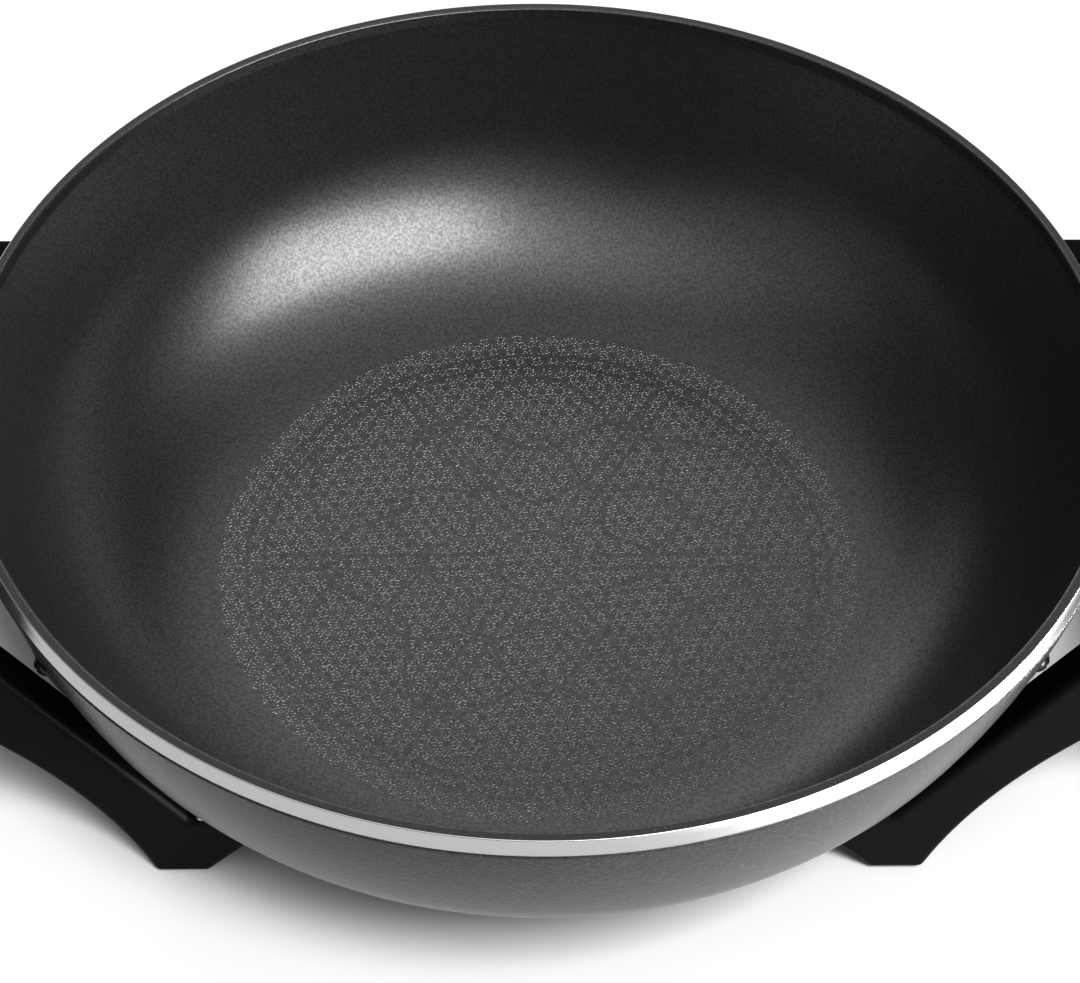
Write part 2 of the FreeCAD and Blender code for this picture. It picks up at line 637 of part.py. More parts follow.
def control_case():
    """Upper and lower halves of the housing, with their screw posts."""
    case = case_block(0).cut(case_block(CASE_WALL))
    low, high = CASE_Z
    posts = [rod_z(CASE_POST_R, x, y, (low + PAST, high - PAST)) for x, y in case_screw_places()]
    reach_y = BLOCK_HALF_WIDTH + FIT_GAP
    reach_z = BLOCK_HALF_HEIGHT + FIT_GAP
    nose_wall = (NOSE_X[0] - PAST, NOSE_X[0] + CASE_WALL + PAST)
    end_wall = (COLLAR_X[0], CASE_X[1] + PAST)
    tools = [
        box(nose_wall, (-reach_y, reach_y), (PLUG_Z - reach_z, PLUG_Z + reach_z)),
        rod_x(SPINDLE_R + SPINDLE_GAP, end_wall, 0, DIAL_Z),
        rod_x(LENS_R + CAST_GAP, end_wall, LENS_Y, LENS_Z),
        rod_x(BUSH_R + CAST_GAP, end_wall, BUSH_Y, BUSH_Z),
    ]
    for x, y in case_screw_places():
        tools.append(rod_z(1.2, x, y, (low, high - CASE_SCREW_SEAT)))
        tools.append(rod_z(2.4, x, y, (low - PAST, low + CASE_SCREW_SEAT)))
    housing = without(case.fuse(union(posts)), tools)
    around_x = (0, DIAL_X[1])
    around_y = (-RIM_Z, RIM_Z)
    upper = housing.common(box(around_x, around_y, (SPLIT_Z, RIM_Z)))
    lower = housing.common(box(around_x, around_y, (0, SPLIT_Z)))
    return upper.removeSplitter(), lower.removeSplitter()


def control_screws():
    seat_z = CASE_Z[0] + CASE_SCREW_SEAT
    return group(pan_screw((x, y, seat_z), (0, 0, 1), 1.2, 17, 2.2) for x, y in case_screw_places())


def contact_block():
    half_z = BLOCK_HALF_HEIGHT
    block = box(BLOCK_X, (-BLOCK_HALF_WIDTH, BLOCK_HALF_WIDTH), (PLUG_Z - half_z, PLUG_Z + half_z))
    block = block.makeFillet(BLOCK_EDGE_R, [edge for edge in block.Edges if edge.BoundBox.XLength > 1])
    bores = [rod_x(CONTACT_R, BLOCK_X, y, PLUG_Z) for y in (-PIN_Y, PIN_Y)]
    return without(block, bores + [rod_x(PROBE_R, BLOCK_X, 0, PLUG_Z)])


def contact_sleeve(y):
    """Barrel that grips a pin, with a flat tab for the lead."""
    barrel = rod_x(CONTACT_R, CONTACT_X, y, PLUG_Z).cut(rod_x(CONTACT_BORE_R, CONTACT_X, y, PLUG_Z))
    tab = box(
        (BLOCK_X[1], TAB_END_X),
        (y - TAB_HALF_WIDTH, y + TAB_HALF_WIDTH),
        (PLUG_Z + CONTACT_BORE_R, PLUG_Z + CONTACT_R),
    )
    return barrel.fuse(tab).removeSplitter()


def probe_rod():
    shaft = rod_x(PROBE_R, (PROBE_TIP_X, FRAME_X[0]), 0, PLUG_Z)
    tip = [edge for edge in shaft.Edges if edge.Closed and edge.BoundBox.XMax < PROBE_TIP_X + 0.1]
    return shaft.makeFillet(PROBE_R - 0.4, tip)


def thermostat_frame():
    """Bent steel frame that holds the probe and the spindle."""
    start, end = FRAME_X
    back = box(FRAME_X, (FRAME_Y[1] - FRAME_SHEET, FRAME_Y[1]), FRAME_Z)
    front_wall = box((start, start + FRAME_SHEET), FRAME_Y, FRAME_Z)
    rear_wall = box((end - FRAME_SHEET, end), FRAME_Y, FRAME_Z)
    bearing = rod_x(SPINDLE_R + SPINDLE_GAP, (end - 2 * FRAME_SHEET, end + PAST), 0, DIAL_Z)
    return without(union([back, front_wall, rear_wall]), [bearing])


def contact_leaf(z, end_x, button_side):
    """Leaf spring on the frame's front wall, with a silver button on one side."""
    leaf = box((FRAME_X[0] + FRAME_SHEET, end_x), (-LEAF_HALF_WIDTH, LEAF_HALF_WIDTH), (z, z + LEAF_SHEET))
    button_z = (z, z + LEAF_SHEET + BUTTON_HEIGHT) if button_side > 0 else (z - BUTTON_HEIGHT, z + LEAF_SHEET)
    return leaf.fuse(rod_z(BUTTON_R, BUTTON_X, 0, button_z))


def contact_leaves():
    lower = contact_leaf(LEAF_LOW_Z, FRAME_X[1] - 2.5, 1)
    upper = contact_leaf(LEAF_HIGH_Z, FRAME_X[1] - 5, -1)
    return group([lower, upper])


def pilot_lamp():
    bulb = rod_x(BULB_R, BULB_X, LENS_Y, LENS_Z)
    return bulb.makeFillet(BULB_R - 0.6, [edge for edge in bulb.Edges if edge.Closed])


def lamp_lens():
    end = CASE_X[1] + LENS_STAND
    lens = rod_x(LENS_R, (CASE_X[1] - CASE_WALL, end), LENS_Y, LENS_Z)
    return lens.makeFillet(LENS_STAND - 0.1, [edge for edge in lens.Edges if edge.BoundBox.XMin > end - 0.1])


def cord_bush():
    """Rubber bush with a flange on each side of the housing's end wall."""
    start, end = BUSH_X
    outside = CASE_X[1]
    body = union([
        rod_x(BUSH_R, BUSH_X, BUSH_Y, BUSH_Z),
        rod_x(BUSH_FLANGE_R, (start, outside - CASE_WALL), BUSH_Y, BUSH_Z),
        rod_x(BUSH_FLANGE_R, (outside, outside + BUSH_FLANGE), BUSH_Y, BUSH_Z),
    ])
    return body.cut(rod_x(BUSH_BORE_R, (start - PAST, end + PAST), BUSH_Y, BUSH_Z))


def dial():
    """Fluted knob with a raised pointer bar in a shallow recess."""
    start, end = DIAL_X
    knob = rod_x(DIAL_R, DIAL_X, 0, DIAL_Z)
    rim = [edge for edge in knob.Edges if edge.Closed and edge.BoundBox.XMin > end - 0.1]
    tools = [rod_x(DIAL_RECESS_R, (end - DIAL_RECESS, end + PAST), 0, DIAL_Z)]
    for i in range(DIAL_FLUTES):
        turn = 2 * math.pi * i / DIAL_FLUTES
        y, z = DIAL_R * math.cos(turn), DIAL_Z + DIAL_R * math.sin(turn)
        tools.append(rod_x(DIAL_FLUTE_R, (start + DIAL_SKIRT, end + PAST), y, z))
    knob = without(knob.makeFillet(DIAL_EDGE_R, rim), tools)
    bar_z = (DIAL_Z - DIAL_RECESS_R, DIAL_Z + DIAL_RECESS_R)
    bar = box((end - DIAL_RECESS - 0.2, end), (-DIAL_BAR_HALF_WIDTH, DIAL_BAR_HALF_WIDTH), bar_z)
    return without(knob.fuse(bar), [rod_x(SPINDLE_R, (start - PAST, SPINDLE_X[1]), 0, DIAL_Z)])


def dial_spindle():
    shaft = rod_x(SPINDLE_R, SPINDLE_X, 0, DIAL_Z)
    return shaft.fuse(rod_x(COLLAR_R, COLLAR_X, 0, DIAL_Z)).removeSplitter()


def dial_cam():
    """Disc off its centre, so that it lifts the lower leaf as it turns."""
    disc = rod_x(CAM_R, CAM_X, CAM_THROW, DIAL_Z)
    return disc.cut(rod_x(SPINDLE_R, CAM_X, 0, DIAL_Z))


def write(node, shape):
    shape.exportStep("parts/" + node + ".step")
    volume = sum(solid.Volume for solid in shape.Solids) / 1000
    print(f"{node}: {len(shape.Solids)} solids, {volume:.2f} cm3, valid {shape.isValid()}")


def write_corners(kind, shape):
    for corner, copy in corner_copies(shape).items():
        write(corner + "_" + kind, copy)


def write_sides(kind, shape):
    write("right_" + kind, shape)
    write("left_" + kind, mirrored(shape, X_AXIS))


os.makedirs("parts", exist_ok=True)

write("bowl", bowl())
write("heating_element", element_solid(SHEATH_R))
write("terminal_pins", group(terminal_pin(y) for y in (-PIN_Y, PIN_Y)))
write("pin_insulators", group(pin_insulator(y) for y in (-PIN_Y, PIN_Y)))
write("probe_sleeve", probe_sleeve())
write("element_cover", element_cover())
write("cover_screws", cover_screws())
write("control_socket", control_socket())
write("socket_screws", socket_screws())

write_corners("leg", leg())
write_corners("foot_pad", foot_pad())
write_corners("leg_plate", leg_plate())
write_corners("wall_clip", wall_clip())
write("leg_screws", group(corner_copies(leg_screw()).values()))
write("wall_screws", group(corner_copies(wall_screw()).values()))
write("clip_screws", group(corner_copies(clip_screw()).values()))
write_sides("grip", grip())
write_sides("grip_insert", grip_insert())
write("grip_screws", grip_screws())

upper_case, lower_case = control_case()
write("control_upper_case", upper_case)
write("control_lower_case", lower_case)
write("control_screws", control_screws())
write("contact_block", contact_block())
write("contact_sleeves", group(contact_sleeve(y) for y in (-PIN_Y, PIN_Y)))
write("probe_rod", probe_rod())
write("thermostat_frame", thermostat_frame())
write("contact_leaves", contact_leaves())
write("pilot_lamp", pilot_lamp())
write("lamp_lens", lamp_lens())
write("cord_bush", cord_bush())
write("dial", dial())
write("dial_spindle", dial_spindle())
write("dial_cam", dial_cam())
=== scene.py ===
import json
from math import asin, atan2, ceil, cos, hypot, pi, radians, sin, sqrt, tan

import bmesh
import bpy
from mathutils import Matrix, Quaternion, Vector


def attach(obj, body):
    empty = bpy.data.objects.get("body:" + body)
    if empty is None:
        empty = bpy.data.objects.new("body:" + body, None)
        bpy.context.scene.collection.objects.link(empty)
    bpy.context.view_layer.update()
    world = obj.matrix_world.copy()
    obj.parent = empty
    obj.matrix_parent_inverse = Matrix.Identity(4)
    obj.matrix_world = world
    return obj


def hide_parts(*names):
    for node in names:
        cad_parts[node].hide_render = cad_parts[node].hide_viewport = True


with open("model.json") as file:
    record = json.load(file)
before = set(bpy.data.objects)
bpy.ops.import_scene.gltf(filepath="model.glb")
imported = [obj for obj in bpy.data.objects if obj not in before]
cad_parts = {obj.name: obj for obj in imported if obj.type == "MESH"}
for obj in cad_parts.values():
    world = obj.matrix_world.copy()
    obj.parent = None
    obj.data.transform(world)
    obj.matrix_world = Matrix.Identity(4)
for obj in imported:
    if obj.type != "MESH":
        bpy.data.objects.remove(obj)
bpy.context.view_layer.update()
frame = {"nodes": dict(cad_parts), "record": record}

mm = 0.001  # every size below is in millimetres
scene = bpy.context.scene
nodes = frame["nodes"]
slotOf = {part["node"]: part["material_slot"] for part in frame["record"]["subparts"]}
print("frame loaded:", len(nodes), "nodes")


class Signal:  # one socket of a node tree, with arithmetic
    def __init__(self, graph, socket):
        self.graph = graph
        self.socket = socket

    def pick(self, name):  # another output of the same node
        return Signal(self.graph, self.socket.node.outputs[name])

    def __add__(self, other):
        return self.graph.maths("ADD", self, other)

    def __sub__(self, other):
        return self.graph.maths("SUBTRACT", self, other)

    def __mul__(self, other):
        return self.graph.maths("MULTIPLY", self, other)

    def __truediv__(self, other):
        return self.graph.maths("DIVIDE", self, other)

    def __mod__(self, other):
        return self.graph.maths("FLOORED_MODULO", self, other)

    def __lt__(self, other):
        return self.graph.maths("LESS_THAN", self, other)

    def __gt__(self, other):
        return self.graph.maths("GREATER_THAN", self, other)

    def __radd__(self, other):
        return self.graph.maths("ADD", other, self)

    def __rsub__(self, other):
        return self.graph.maths("SUBTRACT", other, self)

    def __rmul__(self, other):
        return self.graph.maths("MULTIPLY", other, self)

    def __rtruediv__(self, other):
        return self.graph.maths("DIVIDE", other, self)

    def __abs__(self):
        return self.graph.maths("ABSOLUTE", self)


class NodeGraph:  # writes nodes into one tree, for a finish or for geometry
    def __init__(self, tree):
        self.tree = tree

    def add(self, kind, settings=None, values=None, out=0):
        node = self.tree.nodes.new(kind)
        for name, setting in (settings or {}).items():
            setattr(node, name, setting)
        for name, value in (values or {}).items():
            if isinstance(value, Signal):
                self.tree.links.new(value.socket, node.inputs[name])
            else:
                node.inputs[name].default_value = value
        return Signal(self, node.outputs[out]) if node.outputs else node

    def maths(self, operation, *values):
        return self.add("ShaderNodeMath", {"operation": operation}, dict(enumerate(values)))

    def vector(self, x=0.0, y=0.0, z=0.0):
        return self.add("ShaderNodeCombineXYZ", {}, {"X": x, "Y": y, "Z": z})

    def blend(self, factor, first, second):  # colours only
        pair = {"Factor": factor, "A": first, "B": second}
        return self.add("ShaderNodeMix", {"data_type": "RGBA"}, pair, "Result")

    def fade(self, value, low, high):  # 0 below low, 1 above high
        ends = {"Value": value, "From Min": low, "From Max": high, "To Min": 0.0, "To Max": 1.0}
        return self.add("ShaderNodeMapRange", {"interpolation_type": "SMOOTHSTEP"}, ends)

    def noise(self, place, size, detail=2.0, rough=0.5):  # size in mm
        values = {"Vector": place, "Scale": 1 / (size * mm), "Detail": detail, "Roughness": rough}
        return self.add("ShaderNodeTexNoise", {}, values, 0)

    def bump(self, height, depth, below=None):  # depth in mm for a height of 0 to 1
        values = {"Height": height, "Distance": depth * mm, "Strength": 1.0}
        if below is not None:
            values["Normal"] = below
        return self.add("ShaderNodeBump", {}, values)

    def surface(self, values):
        shader = self.add("ShaderNodeBsdfPrincipled", {}, values)
        self.add("ShaderNodeOutputMaterial", {}, {"Surface": shader})


def newFinish(name):
    material = bpy.data.materials.new(name)
    material.use_nodes = True
    material.node_tree.nodes.clear()
    graph = NodeGraph(material.node_tree)
    place = graph.add("ShaderNodeTexCoord", {}, {}, "Object")
    return material, graph, place


def newShape(name, inputs):  # a geometry tree with named inputs, given as (label, kind) pairs
    tree = bpy.data.node_groups.new(name, "GeometryNodeTree")
    tree.interface.new_socket("Geometry", in_out="INPUT", socket_type="NodeSocketGeometry")
    tree.interface.new_socket("Geometry", in_out="OUTPUT", socket_type="NodeSocketGeometry")
    for label, kind in inputs:
        tree.interface.new_socket(label, in_out="INPUT", socket_type="NodeSocket" + kind)
    graph = NodeGraph(tree)
    start = graph.add("NodeGroupInput")
    return tree, graph, start


def grow(name, tree, values, start=None):  # runs a geometry tree and keeps its plain mesh
    piece = bpy.data.objects.new(name, start or bpy.data.meshes.new(name + "Start"))
    scene.collection.objects.link(piece)
    modifier = piece.modifiers.new(name, "NODES")
    modifier.node_group = tree
    for item in tree.interface.items_tree:
        if item.in_out == "INPUT" and item.name in values:
            modifier[item.identifier] = values[item.name]
    ready = piece.evaluated_get(bpy.context.evaluated_depsgraph_get())
    mesh = bpy.data.meshes.new_from_object(ready)
    piece.modifiers.clear()
    piece.data = mesh
    print(name, "has", len(mesh.polygons), "faces")
    return piece


def grey(value, warm=0.0):  # a near-grey colour, a little warm or cool
    return (value * (1 + warm), value, value * (1 - warm), 1)


camera = {
    "place": (-13.22, -542.43, 676.20),
    "turn": 0.02486,  # towards +X, radians
    "dip": 0.8350,  # below the horizon
    "roll": 0.0154,
    "lens": 89.69,
    "sensor": 36.0,
    "nearClip": 0.01,  # metres
    "gamma": 0.75,  # below 1, which deepens the contrast
}


def placeCamera(sizes):
    turn, dip, roll = sizes["turn"], sizes["dip"], sizes["roll"]
    ahead = Vector((sin(turn) * cos(dip), cos(turn) * cos(dip), -sin(dip)))
    level = Vector((cos(turn), -sin(turn), 0))
    upright = level.cross(ahead)
    side = level * cos(roll) + upright * sin(roll)
    top = upright * cos(roll) - level * sin(roll)
    matrix = Matrix((side, top, -ahead)).transposed().to_4x4()
    matrix.translation = Vector(sizes["place"]) * mm
    data = bpy.data.cameras.new("camera")
    data.lens = sizes["lens"]
    data.sensor_width = sizes["sensor"]
    data.clip_start = sizes["nearClip"]
    view = bpy.data.objects.new("camera", data)
    view.matrix_world = matrix
    scene.collection.objects.link(view)
    scene.camera = view
    scene.view_settings.view_transform = "Standard"
    scene.view_settings.look = "None"
    scene.view_settings.gamma = sizes["gamma"]


placeCamera(camera)

studio = {
    "sky": 0.18,
    "backdrop": 0.92,  # what the camera sees past the floor
    "floorSize": 5.0,  # metres
    "floorGrey": 0.42,
    "floorShade": 0.01,  # how far the grey drifts either way
    "floorCloud": 400.0,
    "floorRough": 0.9,
    "floorShine": 0.2,
    # azimuth from +Y towards +X, elevation, width and height as seen, and roll, all in degrees,
    # then distance in metres and brightness
    "boxes": {
        "key": (129, 46, 46, 33, -27, 2.0, 7.7),
        "card": (118, 2.4, 60, 4.4, 0, 0.7, 160.0),
        "floorLight": (158, 58, 13, 13, 0, 5.0, 126.0),
    },
    # azimuth, elevation, full within and gone beyond, all in degrees, then brightness
    "glows": {
        "overhead": (0, 90, 8, 50, 0.6),
        "keyGlow": (135, 42, 22, 58, 0.8),
        "back": (0, 28, 5, 34, 0.85),
        "backHigh": (0, 52, 5, 32, 0.45),
        "backLeft": (336, 10, 4, 34, 1.3),
        "front": (190, 60, 5, 36, 0.85),
        "leftFront": (236, 34, 5, 32, 0.7),
    },
}


def skyward(azimuth, elevation):
    around, above = radians(azimuth), radians(elevation)
    return Vector((sin(around) * cos(above), cos(around) * cos(above), sin(above)))


def makeSky(sizes):
    world = bpy.data.worlds.new("studio")
    world.use_nodes = True
    world.node_tree.nodes.clear()
    graph = NodeGraph(world.node_tree)
    way = graph.add("ShaderNodeTexCoord", {}, {}, "Generated")
    total = None
    for azimuth, elevation, full, gone, bright in sizes["glows"].values():
        pair = {0: way, 1: skyward(azimuth, elevation)}
        near = graph.add("ShaderNodeVectorMath", {"operation": "DOT_PRODUCT"}, pair, "Value")
        glow = graph.fade(near, cos(radians(gone)), cos(radians(full))) * bright
        total = glow + (sizes["sky"] if total is None else total)
    seen = graph.add("ShaderNodeLightPath", {}, {}, "Is Camera Ray")
    strength = total * (1 - seen) + seen * sizes["backdrop"]
    light = graph.add("ShaderNodeBackground", {}, {"Color": (1, 1, 1, 1), "Strength": strength})
    graph.add("ShaderNodeOutputWorld", {}, {"Surface": light})
    scene.world = world


def makeFloor(sizes):
    half = sizes["floorSize"] / 2
    mesh = bpy.data.meshes.new("floor")
    corners = [(-half, -half, 0), (half, -half, 0), (half, half, 0), (-half, half, 0)]
    mesh.from_pydata(corners, [], [(0, 1, 2, 3)])
    floor = bpy.data.objects.new("floor", mesh)
    scene.collection.objects.link(floor)
    material, graph, place = newFinish("floorPaper")
    tone, drift = sizes["floorGrey"], sizes["floorShade"]
    cloud = graph.noise(place, sizes["floorCloud"], detail=3.0)
    graph.surface({
        "Base Color": graph.blend(cloud, grey(tone - drift), grey(tone + drift)),
        "Roughness": sizes["floorRough"],
        "Specular IOR Level": sizes["floorShine"],
    })
    mesh.materials.append(material)
    return floor


def makeBoxes(sizes, floor):
    onFloor, offFloor = bpy.data.collections.new("onFloor"), bpy.data.collections.new("offFloor")
    for group in (onFloor, offFloor):
        group.objects.link(floor)
    offFloor.collection_objects[0].light_linking.link_state = "EXCLUDE"
    lit = {"floorLight": onFloor, "key": offFloor, "card": offFloor}
    for name, (azimuth, elevation, wide, tall, roll, reach, bright) in sizes["boxes"].items():
        light = bpy.data.lights.new(name, "AREA")
        light.shape = "RECTANGLE"
        light.size = 2 * reach * tan(radians(wide / 2))
        light.size_y = 2 * reach * tan(radians(tall / 2))
        light.energy = bright * pi * light.size * light.size_y
        lamp = bpy.data.objects.new(name, light)
        away = skyward(azimuth, elevation)
        lamp.location = away * reach
        lamp.rotation_mode = "QUATERNION"
        lamp.rotation_quaternion = away.to_track_quat("Z", "Y") @ Quaternion((0, 0, 1), radians(roll))
        lamp.visible_camera = False
        lamp.light_linking.receiver_collection = lit[name]
        scene.collection.objects.link(lamp)


makeSky(studio)
makeBoxes(studio, makeFloor(studio))
print("camera, floor and lights placed")


# in the finishes below, the sizes of noise and the depths of bumps are in millimetres
coat = {
    "grain": 0.85,
    "grainEdges": (0.34, 0.66),
    "cloud": 30.0,
    "fleck": 0.6,
    "fleckEdges": (0.66, 0.78),
    "drift": 0.15,  # share that the tone goes either way
    "fleckTone": 2.5,
    "rough": (0.30, 0.05),  # least, and what the clouds add
    "under": 1.5,  # refraction below the clear coat
    "clear": (0.35, 0.45),  # least weight of the clear coat, and what the grain adds
    "clearRough": 0.29,
    "depth": 0.05,
}


def nonStick(name, tone, sheen, dense=1.9):  # satin dark coat whose fine grain sparkles where it shines
    material, graph, place = newFinish(name)
    noise = graph.noise(place, coat["grain"], detail=2.0, rough=0.6)
    grain = graph.fade(noise, *coat["grainEdges"])
    cloud = graph.noise(place, coat["cloud"], detail=2.0)
    fleck = graph.fade(graph.noise(place, coat["fleck"], detail=1.0), *coat["fleckEdges"])
    body = graph.blend(grain, grey(tone * (1 - coat["drift"])), grey(tone * (1 + coat["drift"])))
    rough, uneven = coat["rough"]
    least, more = coat["clear"]
    graph.surface({
        "Base Color": graph.blend(fleck, body, grey(tone * coat["fleckTone"])),
        "Roughness": rough + cloud * uneven,
        "IOR": coat["under"],
        "Coat Weight": sheen * (least + grain * more),
        "Coat Roughness": coat["clearRough"],
        "Coat IOR": dense,
        "Normal": graph.bump(noise, coat["depth"]),
    })
    return material


hammered = {
    "dimple": 1.4,
    "dimpleDepth": 0.10,
    "tones": (0.014, 0.042),
    "grain": 0.7,
    "grainDepth": 0.015,
    "fleckEdges": (0.6, 0.8),
    "fleckTone": 0.08,
    "cloud": 25.0,
    "metal": 0.1,
    "rough": (0.22, 0.08),  # least, and what the grain adds
    "dense": 1.3,
}


def hammeredPaint(look):  # dark grey with small dimples
    material, graph, place = newFinish("hammeredPaint")
    dimple = graph.noise(place, look["dimple"], detail=1.0, rough=0.5)
    grain = graph.noise(place, look["grain"], detail=2.0, rough=0.6)
    dark, light = look["tones"]
    tone = graph.blend(dimple, grey(dark), grey(light))
    rough, uneven = look["rough"]
    graph.surface({
        "Base Color": graph.blend(graph.fade(grain, *look["fleckEdges"]), tone, grey(look["fleckTone"])),
        "Metallic": graph.noise(place, look["cloud"], detail=2.0) * look["metal"],
        "Roughness": rough + grain * uneven,
        "IOR": look["dense"],
        "Normal": graph.bump(grain, look["grainDepth"], graph.bump(dimple, look["dimpleDepth"])),
    })
    return material


turned = {
    "across": 6.0,  # how closely the rings lie, against the noise's own size
    "around": 0.002,
    "tones": (0.45, 0.55),
    "rough": (0.18, 0.12),
    "depth": 0.006,
}


def turnedMetal(look):  # bare aluminium with the cutter's fine rings
    material, graph, place = newFinish("turnedMetal")
    along = graph.add("ShaderNodeSeparateXYZ", {}, {"Vector": place}, "X")
    across, height = along.pick("Y"), along.pick("Z")
    radius = graph.maths("SQRT", along * along + across * across)
    around = graph.maths("ARCTAN2", across, along)
    rings = graph.vector(radius * look["across"], height * look["across"], around * look["around"])
    line = graph.noise(rings, 1.0, detail=3.0, rough=0.7)
    dark, light = look["tones"]
    rough, uneven = look["rough"]
    graph.surface({
        "Base Color": graph.blend(line, grey(dark), grey(light)),
        "Metallic": 1.0,
        "Roughness": rough + line * uneven,
        "Normal": graph.bump(line, look["depth"]),
    })
    return material


rimLook = {
    "grain": 0.4,
    "speck": 0.5,
    "speckEdges": (0.70, 0.78),
    "tones": (0.03, 0.3),
    "rough": (0.42, 0.1),
    "metal": 0.7,
    "depth": 0.02,
}


def rimCoat(look):  # the coat over the rim's flat face, with a few bright specks
    material, graph, place = newFinish("rimCoat")
    grain = graph.noise(place, look["grain"], detail=2.0, rough=0.6)
    speck = graph.fade(graph.noise(place, look["speck"], detail=1.0), *look["speckEdges"])
    dark, bright = look["tones"]
    rough, uneven = look["rough"]
    graph.surface({
        "Base Color": graph.blend(speck, grey(dark), grey(bright)),
        "Roughness": rough + grain * uneven,
        "Metallic": speck * look["metal"],
        "Normal": graph.bump(grain, look["depth"]),
    })
    return material


plastic = {
    "grain": 0.35,
    "depth": 0.012,
    "gloss": 0.14,
    "cloud": 18.0,
    "drift": 0.15,
    "mottle": 0.08,  # what the clouds add to the roughness
    "tooth": 0.06,  # what the grain adds to it
}


def moulding(name, tone, shine, **own):  # fine-grained plastic or rubber
    look = {**plastic, **own}
    material, graph, place = newFinish(name)
    grain = graph.noise(place, look["grain"], detail=2.0, rough=0.6)
    cloud = graph.noise(place, look["cloud"], detail=3.0)
    graph.surface({
        "Base Color": graph.blend(cloud, grey(tone * (1 - look["drift"])), grey(tone * (1 + look["drift"]))),
        "Roughness": shine + cloud * look["mottle"] + grain * look["tooth"],
        "Specular IOR Level": look["gloss"],
        "Normal": graph.bump(grain, look["depth"]),
    })
    return material


plainMetal = {
    "grain": 0.5,
    "drawn": (1, 1, 1),  # below 1 along an axis, the grain is longer that way
    "depth": 0.004,
    "cloud": 12.0,
    "warm": 0.0,
    "shade": 0.12,
    "dull": 0.12,
}


def metal(name, tone, shine, **own):
    look = {**plainMetal, **own}
    material, graph, place = newFinish(name)
    stretched = graph.add("ShaderNodeMapping", {"vector_type": "POINT"},
                          {"Vector": place, "Scale": look["drawn"]})
    grain = graph.noise(stretched, look["grain"], detail=3.0, rough=0.6)
    cloud = graph.noise(place, look["cloud"], detail=2.0)
    dark, light = grey(tone * (1 - look["shade"]), look["warm"]), grey(tone, look["warm"])
    graph.surface({
        "Base Color": graph.blend(cloud, dark, light),
        "Metallic": 1.0,
        "Roughness": shine + grain * look["dull"],
        "Normal": graph.bump(grain, look["depth"]),
    })
    return material


sprayed = {"peel": 0.8, "cloud": 22.0, "tones": (0.85, 1.1), "uneven": 0.1, "depth": 0.01}


def paint(name, tone, shine):  # sprayed paint on sheet or screws
    material, graph, place = newFinish(name)
    peel = graph.noise(place, sprayed["peel"], detail=2.0)
    cloud = graph.noise(place, sprayed["cloud"], detail=2.0)
    dark, light = sprayed["tones"]
    graph.surface({
        "Base Color": graph.blend(cloud, grey(tone * dark), grey(tone * light)),
        "Roughness": shine + peel * sprayed["uneven"],
        "Normal": graph.bump(peel, sprayed["depth"]),
    })
    return material


pottery = {
    "grain": 0.6,
    "dark": (0.70, 0.68, 0.62, 1),
    "light": (0.84, 0.82, 0.77, 1),
    "rough": (0.55, 0.2),  # least, and what the grain adds
    "depth": 0.02,
}


def fired(look):  # unglazed ceramic
    material, graph, place = newFinish("firedCeramic")
    grain = graph.noise(place, look["grain"], detail=3.0, rough=0.7)
    rough, uneven = look["rough"]
    graph.surface({
        "Base Color": graph.blend(grain, look["dark"], look["light"]),
        "Roughness": rough + grain * uneven,
        "Normal": graph.bump(grain, look["depth"]),
    })
    return material


glassy = {"swirl": 3.0, "shade": 0.85, "uneven": 0.04, "dense": 1.49, "depth": 0.01}


def clearTint(name, tint, shine, through):  # glass or a tinted lens
    material, graph, place = newFinish(name)
    swirl = graph.noise(place, glassy["swirl"], detail=2.0)
    deeper = tuple(part * glassy["shade"] for part in tint[:3]) + (1,)
    graph.surface({
        "Base Color": graph.blend(swirl, tint, deeper),
        "Roughness": shine + swirl * glassy["uneven"],
        "Transmission Weight": through,
        "IOR": glassy["dense"],
        "Normal": graph.bump(swirl, glassy["depth"]),
    })
    return material


finishes = {  # one for each of the part's material slots
    "bowl_coating": nonStick("nonStick", 0.014, 1.0),
    "element_sheath": metal("elementSheath", 0.30, 0.42, warm=0.04, depth=0.006),
    "plated_contacts": metal("nickelPlate", 0.66, 0.22, warm=0.03),
    "ceramic": fired(pottery),
    "probe_metal": metal("drawnProbe", 0.58, 0.26, drawn=(0.05, 1, 1)),
    "cover_steel": paint("coverPaint", 0.020, 0.50),
    "screw_steel": metal("zincPlate", 0.55, 0.30),
    "dark_screws": paint("blackedScrew", 0.012, 0.30),
    "black_moulding": moulding("blackMoulding", 0.004, 0.38, gloss=0.07),
    "foot_rubber": moulding("footRubber", 0.014, 0.66, grain=0.5, depth=0.02),
    "strap_steel": metal("brightStrap", 0.60, 0.24, drawn=(1, 0.08, 1)),
    "clip_steel": paint("clipPaint", 0.004, 0.40),
    "control_moulding": moulding("controlMoulding", 0.011, 0.40),
    "dial_moulding": moulding("dialMoulding", 0.013, 0.34, grain=0.3, depth=0.008),
    "lamp_glass": clearTint("lampGlass", (0.95, 0.80, 0.66, 1), 0.05, 0.9),
    "lens_red": clearTint("lensRed", (0.60, 0.03, 0.02, 1), 0.12, 0.5),
}
bareFinishes = {  # the bowl's other surfaces
    "paint": hammeredPaint(hammered),
    "band": turnedMetal(turned),
    "rim": rimCoat(rimLook),
    # the pips share the bowl's dark coat but get a far lighter tone here: a painted glint on each pip
    "pip": nonStick("pipPaintedGlint", 0.18, 1.1, 2.8),
}

for name, node in nodes.items():
    node.data.materials.clear()
    node.data.materials.append(finishes[slotOf[name]])
print(len(finishes) + len(bareFinishes), "finishes made")


